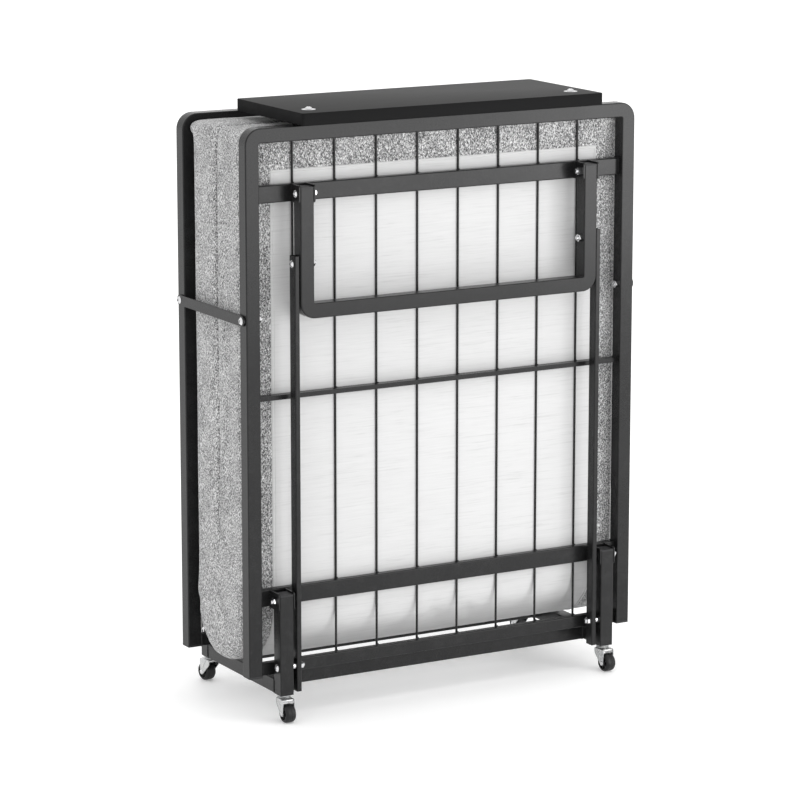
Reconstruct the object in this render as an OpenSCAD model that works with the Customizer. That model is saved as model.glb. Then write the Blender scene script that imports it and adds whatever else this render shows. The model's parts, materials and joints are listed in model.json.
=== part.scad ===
// Folding cot (rollaway bed) in its folded, upright state.
// Two bed sections stand back to back on a rolling base, and each one swings
// outward through a right angle about a bolt at the top of its posts. A side
// link keeps the folding leg of each section upright all the way down.
// Origin: centre of the footprint at floor level. X is across the bed,
// Y goes from the front section to the rear section, Z is up.

/* [Cot] */
// Width over the two side rails
width = 762; // [700:1:900]
// Depth over the outer faces of the two folded sections
depth = 258; // [252:1:300]
// Length of one section's side rails
rail_length = 936; // [930:1:960]
// Height of the rails' lower ends above the floor
rail_lift = 77; // [77:1:80]

/* [Tube] */
// Side of the square steel tube
tube = 25.4; // [25:0.1:26]
// Wall thickness of every tube
wall = 1.2; // [1:0.1:1.5]
// Radius on the long edges of the tubes
tube_edge = 2; // [1.6:0.1:2.5]
// Outer radius of the section frame's top corners
frame_bend = 28; // [27:1:40]
// Outer radius of the folding leg's corners
leg_bend = 27; // [27:1:34]

/* [Crossbars] */
// How far the crossbars' faces lie behind the rails' faces
bar_setback = 11.4; // [11.4:0.1:13]
// Height of the upper and lower crossbars
bar_height = 29.5; // [28:0.5:32]
// Height of the thin bar half way up
middle_bar_height = 8; // [6:1:10]
// Height of the end bar at the rails' lower ends
end_bar_height = 21.5; // [20:0.5:24]
// Diameter of the long wires that carry the mattress
wire_d = 4; // [3:0.5:5]
// Spacing of the wires across the bed
wire_pitch = 80; // [75:1:84]

/* [Folding linkage] */
// Distance of all four pivots in front of the rails' faces
pivot_reach = 9.7; // [9.5:0.1:10]
// Height of the section pivots at the posts' tops
fold_z = 210.8; // [210:0.1:212]
// Distance between the two pivots on a post, and on a leg
pivot_gap = 117; // [110:1:118]
// Distance from a section pivot to its leg hinge
arm = 690.5; // [685:0.5:692]
// Leg length from its hinge to the foot
leg_drop = 210; // [208:0.5:210]
// Width of the flat link tube, seen from the side
link_width = 20; // [18:1:20]
// Thickness of the flat link tube
link_thick = 9.1; // [8:0.1:9.1]
// Radius of the pivot bolts
bolt_r = 4; // [3:0.5:4]

/* [Base] */
// Height of the casters, floor to post
caster_height = 46.8; // [46:0.1:50]
// Distance from a rail's outer face to the post
post_inset = 47.6; // [47:0.1:50]
// Caster wheel radius
wheel_r = 16; // [15:0.1:16.5]
// Caster wheel width
wheel_w = 19; // [16:1:20]
// Distance of a wheel's axle behind its stem
caster_trail = 12.5; // [12:0.1:13]

/* [Mattress] */
// Width of the mattress
mattress_w = 746; // [700:1:748]
// Gap between the rails' front faces and the mattress
mattress_back = 31.2; // [30.5:0.1:34]
// Height of the mattress top, folded
mattress_top = 1005; // [990:1:1010]
// Height of the fold's underside
mattress_bottom = 80.5; // [76:0.1:84]

/* [Board] */
// Width of the board
board_w = 585; // [500:1:620]
// Thickness of the board
board_t = 20.5; // [15:0.5:25]
// How far the board stands out in front of the rails
board_overhang = 35.4; // [30:0.1:38]
// Depth of the board, front to back
board_d = 240; // [200:1:240]

/* [Latch] */
// Height of the latch bolts above the floor
latch_z = 692; // [600:1:720]
// Height of a latch bar
latch_h = 18; // [14:1:24]
// Thickness of a latch bar
latch_t = 3; // [2:0.5:4]

/* [Hidden] */
$fn = 48;

// Clearances
run = 0.06;             // radial, shaft in a hole that turns on it
gap = 0.3;              // between faces that slide past each other
fit = 0.1;              // radial, around parts that are clamped together

// Main planes and the pivot line of one section
face = depth / 2;
inner = face - tube;
top = rail_lift + rail_length;
rail_x = width / 2 - tube / 2;
bar_len = width - 2 * tube;
pivot_y = -(face + pivot_reach);
link_z = fold_z - pivot_gap;
leg_z = fold_z + arm;
tie_z = leg_z - pivot_gap;
bar_depth = tube - bar_setback;

// Posts, links and legs, stacked inward from the rails
post_x = width / 2 - post_inset - tube / 2;
ear_t = 2.4;
link_gap = 7.6;
link_x = post_x - tube / 2 - link_gap - link_thick / 2;
leg_gap = 0.9;
leg_x = link_x - link_thick / 2 - leg_gap - tube / 2;
cap_t = 3;
stand = 11.7;           // post and leg tops above their pivots
post_top = fold_z + stand;
leg_top = leg_z + stand;
foot_z = leg_z - leg_drop;

// Heights of the crossbars' middles
upper_bar_z = leg_z - 0.8;
lower_bar_z = fold_z + 1.2;
middle_bar_z = 556;
end_bar_z = rail_lift + end_bar_height / 2;

// Ears of the hinge brackets
ear_h = 30;
ear_nose = tube / 2;
ear_corner = 4;

// Links
link_low = 50;
link_high = tie_z + 13.7;

// Base
base_bar_z = caster_height + tube / 2;
base_bar_y = face - 36 - tube / 2;
rear_bar_y = base_bar_y + 6;

// Bolts
head_r = 6.5;
head_h = 4;
thin_head_h = 3.6;
nut_af = 12;
nut_h = 5.5;
stud = 4;
spacer_r = 7;

// Mattress: the sections' halves end on an arc about their pivots
half_t = face - mattress_back;
swing_r = -pivot_y - 0.7;
fold_r = swing_r + 0.4;
fold_top = 190;
turn_r = 120;
turn_z = mattress_bottom + sqrt(turn_r * turn_r - pow(turn_r - half_t, 2));

// Board and its fixings
board_gap = 4;
board_corner = 5;
board_z = top + board_gap;
screw_x = 256;
screw_r = 3;
washer_r = 12.5;
washer_t = 1.5;
washer_seat = 0.8;      // the washers lie in shallow seats in the board
rivnut_r = 5;
rivnut_h = 9;

// Latch bars
latch_x = width / 2 + 0.5;
latch_span = depth - tube;

// Casters
stem_r = 4;
race_r = 12;
race_t = 3;
fork_top_t = 3;
fork_front = 10;
fork_hood = 18;         // the top reaches this far back over the wheel
fork_t = 1.5;
fork_x = wheel_w / 2 + 0.8;
fork_nose = 5;
fork_z = caster_height - race_t - gap;
axle_r = 2.5;
tread_round = 4;
hub_r = 5;
hub_recess = 2.5;
rivet_r = 6;
socket_h = 22;
// Where the wheels point: turn of each caster about its stem
yaw_front_left = 0;
yaw_front_right = 5;
yaw_rear_left = 190;
yaw_rear_right = 180;

// ---- Shapes that repeat ----

// Draws its children on the right, and again on the left
module each_side() {
    children();
    mirror([1, 0, 0]) children();
}

// Turns a front part into its twin on the rear section
module rear() {
    mirror([0, 1, 0]) children();
}

// Draws its children at one caster, turned by yaw about its stem
module at_caster(side_x, side_y, yaw) {
    translate([side_x * post_x, side_y * -pivot_y, 0]) rotate([0, 0, yaw]) children();
}

module rounded_rect(w, d, r) {
    square([w - 2 * r, d], center = true);
    square([w, d - 2 * r], center = true);
    for (sx = [-1, 1], sy = [-1, 1])
        translate([sx * (w / 2 - r), sy * (d / 2 - r)]) circle(r = r);
}

module tube_section(w = tube, d = tube) {
    difference() {
        rounded_rect(w, d, tube_edge);
        rounded_rect(w - 2 * wall, d - 2 * wall, tube_edge - wall);
    }
}

// A straight tube that rises from z = 0
module tube_up(length, w = tube, d = tube) {
    linear_extrude(length) tube_section(w, d);
}

// A straight tube centred along X, h high and d deep
module tube_across(length, h = tube, d = tube) {
    translate([-length / 2, 0, 0]) rotate([0, 90, 0]) tube_up(length, h, d);
}

// A U of bent tube, its two ends at z = 0 and its closed side on top
module tube_u(outer_w, height, bend) {
    r = bend - tube / 2;
    x = outer_w / 2 - tube / 2;
    each_side() {
        translate([x, 0, 0]) tube_up(height - bend);
        translate([x - r, 0, height - bend]) rotate([90, 0, 0])
            rotate_extrude(angle = 90) translate([r, 0]) tube_section();
    }
    translate([0, 0, height - tube / 2]) tube_across(2 * (x - r));
}

// A round hole along X through whatever is at y, z
module cross_hole(x, y, z, r, length = 2 * tube) {
    translate([x - length / 2, y, z]) rotate([0, 90, 0]) cylinder(r = r, h = length);
}

// A domed head that stands on z = 0
module dome(r, h) {
    ball_r = (r * r + h * h) / (2 * h);
    rotate_extrude() intersection() {
        translate([0, h - ball_r]) circle(r = ball_r);
        square([r, h]);
    }
}

// A bolt along +X with its head left of x = 0, and a nut after the grip
module bolt(grip, head = head_h) {
    rotate([0, 90, 0]) {
        mirror([0, 0, 1]) dome(head_r, head);
        cylinder(r = bolt_r, h = grip + nut_h + stud);
        translate([0, 0, grip]) cylinder(r = nut_af / sqrt(3), h = nut_h, $fn = 6);
    }
}

// A plug for the end of a square tube, its flat head on top of z = 0
module tube_plug(depth_in) {
    inside = tube - 2 * wall - 2 * fit;
    linear_extrude(cap_t) rounded_rect(tube, tube, tube_edge);
    translate([0, 0, -depth_in]) linear_extrude(depth_in)
        rounded_rect(inside, inside, tube_edge - wall);
}

// ---- Base ----

module post() {
    translate([0, 0, caster_height]) difference() {
        tube_up(post_top - cap_t - caster_height);
        for (z = [fold_z, link_z]) cross_hole(0, 0, z - caster_height, bolt_r + run);
    }
}

module post_at(side_x, side_y) {
    color("#232325") translate([side_x * post_x, side_y * -pivot_y, 0]) post();
}

module base_post_front_left() { post_at(-1, -1); }
module base_post_front_right() { post_at(1, -1); }
module base_post_rear_left() { post_at(-1, 1); }
module base_post_rear_right() { post_at(1, 1); }

module base_tube_at(side_x) {
    length = 2 * (-pivot_y - tube / 2);
    color("#232325") translate([side_x * post_x, 0, base_bar_z]) rotate([0, 0, 90])
        tube_across(length);
}

module base_tube_left() { base_tube_at(-1); }
module base_tube_right() { base_tube_at(1); }

module base_crossbar_at(y) {
    color("#232325") translate([0, y, base_bar_z]) tube_across(2 * post_x - tube);
}

module base_crossbar_front() { base_crossbar_at(-base_bar_y); }
module base_crossbar_rear() { base_crossbar_at(rear_bar_y); }

module post_caps() {
    color("#161617") for (sx = [-1, 1], sy = [-1, 1])
        translate([sx * post_x, sy * pivot_y, post_top - cap_t]) tube_plug(3);
}

// A plastic socket in each post, the stem that hangs from it and its race
module caster_stems() {
    inside = tube - 2 * wall - 2 * fit;
    color("silver") for (sx = [-1, 1], sy = [-1, 1])
        translate([sx * post_x, sy * pivot_y, 0]) {
            translate([0, 0, caster_height]) linear_extrude(socket_h)
                rounded_rect(inside, inside, tube_edge - wall);
            translate([0, 0, caster_height - race_t]) cylinder(r = race_r, h = race_t);
            translate([0, 0, fork_z - fork_top_t - gap])
                cylinder(r = stem_r, h = caster_height - fork_z + fork_top_t + gap);
            translate([0, 0, fork_z - fork_top_t - gap - 2]) cylinder(r = rivet_r, h = 2);
        }
}

// Section pivots: head on the inner side, nut on the outer side
module fold_pivot_bolts() {
    color("silver") for (sy = [-1, 1]) each_side()
        translate([post_x - tube / 2 - ear_t - 2 * gap, sy * pivot_y, fold_z])
            bolt(tube + 2 * ear_t + 4 * gap, thin_head_h);
}

// Link pivots: head on the outer side, a spacer between post and link
module link_pivot_bolts() {
    head_x = post_x + tube / 2 + 0.2;
    nut_x = link_x - link_thick / 2 - gap;
    color("silver") for (sy = [-1, 1]) each_side() translate([0, sy * pivot_y, link_z]) {
        translate([head_x, 0, 0]) mirror([1, 0, 0]) bolt(head_x - nut_x);
        translate([link_x + link_thick / 2 + gap, 0, 0]) rotate([0, 90, 0]) difference() {
            cylinder(r = spacer_r, h = link_gap - gap);
            translate([0, 0, -1]) cylinder(r = bolt_r + fit, h = link_gap + 2);
        }
    }
}

// ---- Casters ----
// Each is drawn with its stem on the Z axis and its wheel trailing along -Y

module fork() {
    color("#c9c9cc") difference() {
        union() {
            translate([-fork_x - fork_t, -fork_hood, fork_z - fork_top_t])
                cube([2 * (fork_x + fork_t), fork_front + fork_hood, fork_top_t]);
            each_side() translate([fork_x, 0, 0]) rotate([90, 0, 90]) linear_extrude(fork_t) {
                translate([-caster_trail, wheel_r]) circle(r = fork_nose);
                polygon([[fork_front, fork_z], [-fork_hood, fork_z], [-fork_hood, fork_z - 8],
                         [-caster_trail - fork_nose, wheel_r + 1], [-caster_trail + 3, wheel_r - 4],
                         [fork_front - 1, fork_z - 8]]);
            }
        }
        cylinder(r = stem_r + run, h = caster_height);
        translate([0, -caster_trail, wheel_r]) rotate([0, 90, 0])
            cylinder(r = axle_r + 0.02, h = 3 * wheel_w, center = true);
    }
}

module axle() {
    reach = fork_x + fork_t;
    color("silver") translate([0, -caster_trail, wheel_r]) rotate([0, 90, 0]) {
        cylinder(r = axle_r, h = 2 * reach, center = true);
        for (s = [0, 1]) mirror([0, 0, s]) translate([0, 0, reach]) dome(fork_nose - 1, 1.6);
    }
}

module wheel() {
    flat = wheel_w / 2 - tread_round;
    color("#1b1b1c") translate([0, -caster_trail, wheel_r]) rotate([0, 90, 0]) difference() {
        rotate_extrude() {
            translate([0, -flat]) square([wheel_r, 2 * flat]);
            translate([0, -wheel_w / 2]) square([wheel_r - tread_round, wheel_w]);
            for (s = [-1, 1]) translate([wheel_r - tread_round, s * flat]) circle(r = tread_round);
        }
        cylinder(r = axle_r + run, h = 2 * wheel_w, center = true);
        for (s = [0, 1]) mirror([0, 0, s]) translate([0, 0, wheel_w / 2 - hub_recess])
            difference() {
                cylinder(r = wheel_r - tread_round, h = 2 * hub_recess);
                cylinder(r = hub_r, h = 2 * hub_recess);
            }
    }
}

module caster_fork_front_left() { at_caster(-1, -1, yaw_front_left) fork(); }
module caster_axle_front_left() { at_caster(-1, -1, yaw_front_left) axle(); }
module caster_wheel_front_left() { at_caster(-1, -1, yaw_front_left) wheel(); }
module caster_fork_front_right() { at_caster(1, -1, yaw_front_right) fork(); }
module caster_axle_front_right() { at_caster(1, -1, yaw_front_right) axle(); }
module caster_wheel_front_right() { at_caster(1, -1, yaw_front_right) wheel(); }
module caster_fork_rear_left() { at_caster(-1, 1, yaw_rear_left) fork(); }
module caster_axle_rear_left() { at_caster(-1, 1, yaw_rear_left) axle(); }
module caster_wheel_rear_left() { at_caster(-1, 1, yaw_rear_left) wheel(); }
module caster_fork_rear_right() { at_caster(1, 1, yaw_rear_right) fork(); }
module caster_axle_rear_right() { at_caster(1, 1, yaw_rear_right) axle(); }
module caster_wheel_rear_right() { at_caster(1, 1, yaw_rear_right) wheel(); }

// ---- Bed sections ----

// The bent tube of one section; latch_through drills both walls of its rails
module frame(latch_through) {
    hole_x = latch_through ? rail_x : width / 2;
    hole_len = latch_through ? 2 * tube : tube;
    color("#232325") difference() {
        translate([0, -(face - tube / 2), rail_lift + cap_t])
            tube_u(width, rail_length - cap_t, frame_bend);
        each_side() cross_hole(hole_x, -(face - tube / 2), latch_z, bolt_r + fit, hole_len);
        if (latch_through) each_side()
            translate([screw_x, -(face - tube / 2), top - 2 * wall])
                cylinder(r = screw_r + fit, h = tube);
    }
}

module front_frame() { frame(true); }
module rear_frame() { rear() frame(false); }

// A crossbar between the rails, flush with their inner faces
module crossbar(z, height) {
    color("#232325") translate([0, -(inner + bar_depth / 2), z])
        tube_across(bar_len, height, bar_depth);
}

module front_upper_crossbar() { crossbar(upper_bar_z, bar_height); }
module rear_upper_crossbar() { rear() front_upper_crossbar(); }
module front_lower_crossbar() { crossbar(lower_bar_z, bar_height); }
module rear_lower_crossbar() { rear() front_lower_crossbar(); }
module front_end_bar() { crossbar(end_bar_z, end_bar_height); }
module rear_end_bar() { rear() front_end_bar(); }

// The middle bar is a solid flat
module front_middle_bar() {
    color("#232325") translate([0, -(inner + bar_depth / 2), middle_bar_z])
        cube([bar_len, bar_depth, middle_bar_height], center = true);
}

module rear_middle_bar() { rear() front_middle_bar(); }

module front_wires() {
    low = end_bar_z;
    high = top - tube / 2;
    color("#1c1c1e") for (i = [0 : 3]) each_side()
        translate([(i + 0.5) * wire_pitch, -(inner - wire_d / 2), low])
            cylinder(r = wire_d / 2, h = high - low);
}

module rear_wires() { rear() front_wires(); }

// One plate ear of a hinge bracket, its hole on the X axis
module ear() {
    depth_in = pivot_reach + bar_setback;
    rotate([90, 0, 90]) linear_extrude(ear_t) difference() {
        union() {
            translate([-ear_nose + ear_corner, -ear_h / 2])
                square([depth_in + ear_nose - ear_corner, ear_h]);
            translate([-ear_nose, -ear_h / 2 + ear_corner])
                square([ear_corner, ear_h - 2 * ear_corner]);
            for (s = [-1, 1]) translate([-ear_nose + ear_corner, s * (ear_h / 2 - ear_corner)])
                circle(r = ear_corner);
        }
        circle(r = bolt_r + run);
    }
}

// Two ears welded to a crossbar, one on each side of a tube at x
module clevis(x, z) {
    translate([x, pivot_y, z]) {
        translate([tube / 2 + gap, 0, 0]) ear();
        translate([-tube / 2 - gap - ear_t, 0, 0]) ear();
    }
}

module front_brackets() {
    color("#232325") each_side() {
        clevis(post_x, fold_z);
        clevis(leg_x, leg_z);
    }
}

module rear_brackets() { rear() front_brackets(); }

module front_leg_hinge_bolts() {
    color("silver") each_side()
        translate([leg_x + tube / 2 + ear_t + 2 * gap, pivot_y, leg_z]) mirror([1, 0, 0])
            bolt(tube + 2 * ear_t + 4 * gap);
}

module rear_leg_hinge_bolts() { rear() front_leg_hinge_bolts(); }

module front_rail_plugs() {
    color("#161617") each_side()
        translate([rail_x, -(face - tube / 2), rail_lift + cap_t]) mirror([0, 0, 1]) tube_plug(12);
}

module rear_rail_plugs() { rear() front_rail_plugs(); }

// The latch bars turn on these bolts
module front_latch_bolts() {
    head_x = latch_x + latch_t + gap;
    grip = head_x - (width / 2 - tube - 0.2);
    color("silver") each_side()
        translate([head_x, -latch_span / 2, latch_z]) mirror([1, 0, 0]) bolt(grip);
}

// ---- Mattress ----

// Outline of one half in the Y-Z plane, rounded where the mattress turns
module half_outline() {
    translate([-half_t, turn_z]) square([half_t, mattress_top - turn_z]);
    intersection() {
        translate([turn_r - half_t, turn_z]) circle(r = turn_r, $fn = 96);
        translate([-half_t, 0]) square([half_t, turn_z]);
    }
}

module mattress_front() {
    reach = -pivot_y;
    color("#8f8f92") translate([-mattress_w / 2, 0, 0]) rotate([90, 0, 90])
        linear_extrude(mattress_w) intersection() {
            half_outline();
            union() {
                translate([-half_t, fold_z]) square([half_t - (reach - swing_r), top]);
                translate([pivot_y, fold_z]) circle(r = swing_r, $fn = 96);
            }
        }
}

module mattress_rear() { rear() mattress_front(); }

// The turn of the mattress between the two halves, which gives as they open
module mattress_fold() {
    color("#8f8f92") translate([-mattress_w / 2, 0, 0]) rotate([90, 0, 90])
        linear_extrude(mattress_w) difference() {
            intersection() {
                union() {
                    half_outline();
                    mirror([1, 0]) half_outline();
                }
                translate([-half_t, 0]) square([2 * half_t, fold_top]);
            }
            for (s = [0, 1]) mirror([s, 0]) translate([pivot_y, fold_z])
                circle(r = fold_r, $fn = 96);
        }
}

// ---- Board ----

module board() {
    color("#2a2a2c") translate([0, -face - board_overhang + board_d / 2, board_z]) difference() {
        linear_extrude(board_t) rounded_rect(board_w, board_d, board_corner);
        each_side() translate([screw_x, board_overhang + tube / 2 - board_d / 2, 0]) {
            translate([0, 0, -1]) cylinder(r = screw_r + fit, h = board_t + 2);
            translate([0, 0, board_t - washer_seat]) cylinder(r = washer_r + fit, h = 2);
        }
    }
}

// Spacer, washer, screw and the nut inside the rail at each of the board's two fixings
module board_screws() {
    nut_z = top - wall;
    seat_z = board_z + board_t - washer_seat;
    color("silver") each_side() translate([screw_x, -(face - tube / 2), 0]) {
        translate([0, 0, top]) difference() {
            cylinder(r = washer_r, h = board_gap);
            translate([0, 0, -1]) cylinder(r = screw_r + fit, h = board_gap + 2);
        }
        translate([0, 0, seat_z]) cylinder(r = washer_r, h = washer_t);
        translate([0, 0, seat_z + washer_t]) dome(head_r, head_h);
        translate([0, 0, nut_z - rivnut_h]) cylinder(r = screw_r, h = seat_z - nut_z + rivnut_h);
        translate([0, 0, nut_z - rivnut_h]) cylinder(r = rivnut_r, h = rivnut_h);
    }
}

// ---- Folding legs and links ----

module front_leg() {
    height = leg_top - cap_t - foot_z;
    color("#232325") difference() {
        translate([0, pivot_y, leg_top - cap_t]) mirror([0, 0, 1])
            tube_u(2 * leg_x + tube, height, leg_bend);
        each_side() for (z = [leg_z, tie_z]) cross_hole(leg_x, pivot_y, z, bolt_r + run);
    }
}

module rear_leg() { rear() front_leg(); }

module front_leg_caps() {
    color("#161617") each_side() translate([leg_x, pivot_y, leg_top - cap_t]) tube_plug(3);
}

module rear_leg_caps() { rear() front_leg_caps(); }

// Bolts that tie the links to the leg; the links' holes are wide around them
module front_link_bolts() {
    head_x = link_x + link_thick / 2 + gap;
    grip = head_x - (leg_x - tube / 2 - 0.2);
    color("silver") each_side()
        translate([head_x, pivot_y, tie_z]) mirror([1, 0, 0]) bolt(grip);
}

module rear_link_bolts() { rear() front_link_bolts(); }

module front_links() {
    tie_hole_r = bolt_r + 1;
    color("#232325") each_side() difference() {
        translate([link_x, pivot_y, link_low])
            tube_up(link_high - link_low, link_thick, link_width);
        cross_hole(link_x, pivot_y, link_z, bolt_r + run);
        cross_hole(link_x, pivot_y, tie_z, tie_hole_r);
    }
}

module rear_links() { rear() front_links(); }

// ---- Latch bars ----

module latch_bar(side_x) {
    color("#232325") mirror([side_x < 0 ? 1 : 0, 0, 0]) translate([latch_x, 0, latch_z])
        rotate([90, 0, 90]) linear_extrude(latch_t) difference() {
            union() {
                square([latch_span, latch_h], center = true);
                for (s = [-1, 1]) translate([s * latch_span / 2, 0]) circle(r = latch_h / 2);
            }
            for (s = [-1, 1]) translate([s * latch_span / 2, 0]) circle(r = bolt_r + run);
        }
}

// The screw that closes a latch bar; its tip stops flush with the bar
module latch_screw(side_x) {
    color("silver") mirror([side_x < 0 ? 1 : 0, 0, 0])
        translate([latch_x, latch_span / 2, latch_z]) rotate([0, 90, 0]) {
            cylinder(r = bolt_r, h = latch_t);
            translate([0, 0, latch_t]) dome(head_r, head_h);
        }
}

module latch_left() { latch_bar(-1); }
module latch_right() { latch_bar(1); }
module latch_left_screw() { latch_screw(-1); }
module latch_right_screw() { latch_screw(1); }

base_post_front_left();
base_post_front_right();
base_post_rear_left();
base_post_rear_right();
base_tube_left();
base_tube_right();
base_crossbar_front();
base_crossbar_rear();
post_caps();
caster_stems();
fold_pivot_bolts();
link_pivot_bolts();
mattress_fold();
caster_fork_front_left();
caster_axle_front_left();
caster_wheel_front_left();
caster_fork_front_right();
caster_axle_front_right();
caster_wheel_front_right();
caster_fork_rear_left();
caster_axle_rear_left();
caster_wheel_rear_left();
caster_fork_rear_right();
caster_axle_rear_right();
caster_wheel_rear_right();
front_frame();
front_upper_crossbar();
front_lower_crossbar();
front_middle_bar();
front_end_bar();
front_wires();
front_brackets();
front_leg_hinge_bolts();
front_rail_plugs();
front_latch_bolts();
mattress_front();
board();
board_screws();
rear_frame();
rear_upper_crossbar();
rear_lower_crossbar();
rear_middle_bar();
rear_end_bar();
rear_wires();
rear_brackets();
rear_leg_hinge_bolts();
rear_rail_plugs();
mattress_rear();
front_leg();
front_leg_caps();
front_link_bolts();
rear_leg();
rear_leg_caps();
rear_link_bolts();
front_links();
rear_links();
latch_left();
latch_left_screw();
latch_right();
latch_right_screw();
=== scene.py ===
import json
import math

import bmesh
import bpy
from mathutils import Matrix, Vector, noise
from mathutils.bvhtree import BVHTree


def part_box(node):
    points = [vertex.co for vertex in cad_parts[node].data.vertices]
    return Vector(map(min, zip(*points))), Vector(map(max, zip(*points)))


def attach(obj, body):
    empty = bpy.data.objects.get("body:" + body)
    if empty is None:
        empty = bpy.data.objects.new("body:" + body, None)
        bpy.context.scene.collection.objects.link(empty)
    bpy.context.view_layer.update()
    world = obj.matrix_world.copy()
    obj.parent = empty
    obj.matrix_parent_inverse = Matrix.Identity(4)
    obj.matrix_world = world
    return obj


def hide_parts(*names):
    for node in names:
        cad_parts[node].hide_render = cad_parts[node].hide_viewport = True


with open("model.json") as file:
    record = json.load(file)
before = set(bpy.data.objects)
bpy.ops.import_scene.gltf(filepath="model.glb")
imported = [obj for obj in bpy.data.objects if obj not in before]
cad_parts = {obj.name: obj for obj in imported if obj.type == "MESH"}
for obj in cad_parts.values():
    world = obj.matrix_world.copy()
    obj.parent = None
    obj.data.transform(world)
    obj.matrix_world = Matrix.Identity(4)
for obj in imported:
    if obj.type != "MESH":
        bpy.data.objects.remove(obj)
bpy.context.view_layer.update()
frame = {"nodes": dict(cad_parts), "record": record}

# ---------------------------------------------------------------- places from the frame
MM = 0.001
TUBE = 25.4 * MM
JOINTS = {j["name"]: Vector(j["pos_m"]) for j in frame["record"]["behaviour"]["joints"] if "pos_m" in j}
PIVOT = JOINTS["front_fold"]
LINK = JOINTS["front_link_swing"]
HINGE = JOINTS["front_leg_hinge"]
LATCH = JOINTS["latch_left_turn"]
TIE_Z = HINGE.z - (PIVOT.z - LINK.z)
RAIL_LO, RAIL_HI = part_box("front_frame")
POST_LO, POST_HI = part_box("base_post_front_right")
POST_X = (POST_LO.x + POST_HI.x) / 2
LEG_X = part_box("front_leg")[1].x - TUBE / 2
LINK_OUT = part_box("front_links")[1].x
LATCH_LO, LATCH_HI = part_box("latch_right")
MAT_LO, MAT_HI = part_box("mattress_front")
BOARD_LO, BOARD_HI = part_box("board")
CORNERS = {"front_left": (-1, -1), "front_right": (1, -1), "rear_left": (-1, 1), "rear_right": (1, 1)}
SECTIONS = (("front", -1), ("rear", 1))
SIDES = (-1, 1)
WIRES = 8
WIRE_R = 2 * MM


def wire_places(section):
    """X of each long wire of a section, from left to right."""
    lo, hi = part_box(f"{section}_wires")
    return [lo.x + WIRE_R + i * (hi.x - lo.x - 2 * WIRE_R) / (WIRES - 1) for i in range(WIRES)]


# ---------------------------------------------------------------- materials
class Nodes:
    """A node material around one Principled shader."""

    def __init__(self, name):
        self.m = bpy.data.materials.new(name)
        self.m.use_nodes = True
        self.t = self.m.node_tree
        self.bsdf = next(n for n in self.t.nodes if n.type == "BSDF_PRINCIPLED")
        self.coord = self.add("ShaderNodeTexCoord").outputs["Object"]

    def add(self, kind, **props):
        n = self.t.nodes.new(kind)
        for k, v in props.items():
            setattr(n, k, v)
        return n

    def link(self, a, b):
        self.t.links.new(a, b)

    def put(self, **values):
        """Sets constants on the shader's own sockets."""
        for k, v in values.items():
            self.bsdf.inputs[k.replace("_", " ")].default_value = v

    def scaled(self, x, y, z):
        """Object coordinates, scaled along each axis."""
        n = self.add("ShaderNodeMapping")
        n.inputs["Scale"].default_value = (x, y, z)
        self.link(self.coord, n.inputs["Vector"])
        return n.outputs["Vector"]

    def noise(self, scale, detail=2.0, rough=0.5, vector=None, distortion=0.0):
        n = self.add("ShaderNodeTexNoise")
        n.inputs["Scale"].default_value = scale
        n.inputs["Detail"].default_value = detail
        n.inputs["Roughness"].default_value = rough
        n.inputs["Distortion"].default_value = distortion
        self.link(vector or self.coord, n.inputs["Vector"])
        return n.outputs["Fac"]

    def ramp(self, fac, stops):
        """Colours at the given positions; a plain number is a grey."""
        n = self.add("ShaderNodeValToRGB")
        e = n.color_ramp.elements
        while len(e) < len(stops):
            e.new(0.5)
        for i, (pos, c) in enumerate(stops):
            e[i].position = pos
            e[i].color = (c, c, c, 1) if isinstance(c, (int, float)) else (*c, 1)
        self.link(fac, n.inputs["Fac"])
        return n.outputs["Color"]

    def span(self, fac, from_low, from_high, to_low, to_high):
        """Maps one range of values to another."""
        n = self.add("ShaderNodeMapRange")
        for i, v in enumerate((from_low, from_high, to_low, to_high)):
            n.inputs[i + 1].default_value = v
        self.link(fac, n.inputs[0])
        return n.outputs[0]

    def math(self, op, a, b):
        n = self.add("ShaderNodeMath", operation=op)
        for i, v in enumerate((a, b)):
            if isinstance(v, (int, float)):
                n.inputs[i].default_value = v
            else:
                self.link(v, n.inputs[i])
        return n.outputs[0]

    def blend(self, a, share_a, b, share_b):
        """a and b added in the given shares."""
        return self.math("ADD", self.math("MULTIPLY", a, share_a), self.math("MULTIPLY", b, share_b))

    def mix(self, fac, a, b):
        """Colour a where fac is 0 and colour b where it is 1."""
        n = self.add("ShaderNodeMix", data_type="RGBA")
        self.link(fac, n.inputs[0])
        for i, v in ((6, a), (7, b)):
            if isinstance(v, tuple):
                n.inputs[i].default_value = (*v, 1)
            else:
                self.link(v, n.inputs[i])
        return n.outputs[2]

    def bump(self, height, strength, distance, under=None):
        n = self.add("ShaderNodeBump")
        n.inputs["Strength"].default_value = strength
        n.inputs["Distance"].default_value = distance
        self.link(height, n.inputs["Height"])
        if under is not None:
            self.link(under, n.inputs["Normal"])
        return n.outputs["Normal"]

    def colour(self, socket):
        self.link(socket, self.bsdf.inputs["Base Color"])

    def rough(self, socket):
        self.link(socket, self.bsdf.inputs["Roughness"])

    def normal(self, socket):
        self.link(socket, self.bsdf.inputs["Normal"])


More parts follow.
